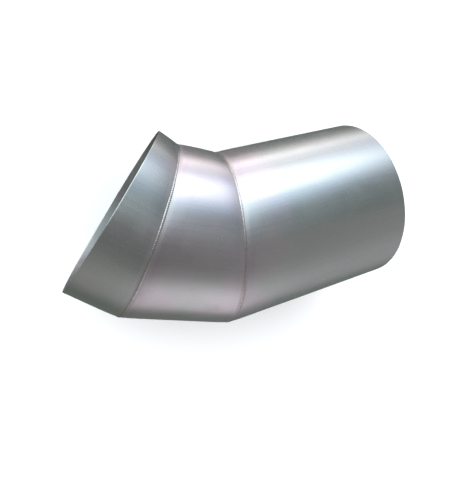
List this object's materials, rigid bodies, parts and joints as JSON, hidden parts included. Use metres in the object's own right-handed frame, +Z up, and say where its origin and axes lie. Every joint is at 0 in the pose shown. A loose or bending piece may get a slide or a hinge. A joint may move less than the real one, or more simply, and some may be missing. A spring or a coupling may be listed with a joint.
{
  "type": "flue elbow",
  "caption": "Segmented flue elbow of welded stainless sheet, with a short inlet collar, a gore and a long straight outlet pipe.",
  "frame": {"origin": "below the middle of the elbow's whole box, on the floor that it lies on", "axes": "+X runs along the outlet pipe to its open end, +Z is up, square to the flat of the bend, and the inlet collar turns towards -X and +Y"},
  "size_m": [0.2812, 0.1752, 0.1506],
  "materials": {
    "sheet_steel": "satin, fine grain along the pipe",
    "weld_bead": "bright fine-rippled weld"
  },
  "bodies": {
    "root": {"inlet_collar": "sheet_steel", "middle_gore": "sheet_steel", "outlet_pipe": "sheet_steel", "collar_ring_weld": "weld_bead", "outlet_ring_weld": "weld_bead", "inlet_collar_seam_weld": "weld_bead", "middle_gore_seam_weld": "weld_bead", "outlet_pipe_seam_weld": "weld_bead"}
  },
  "joints": []
}
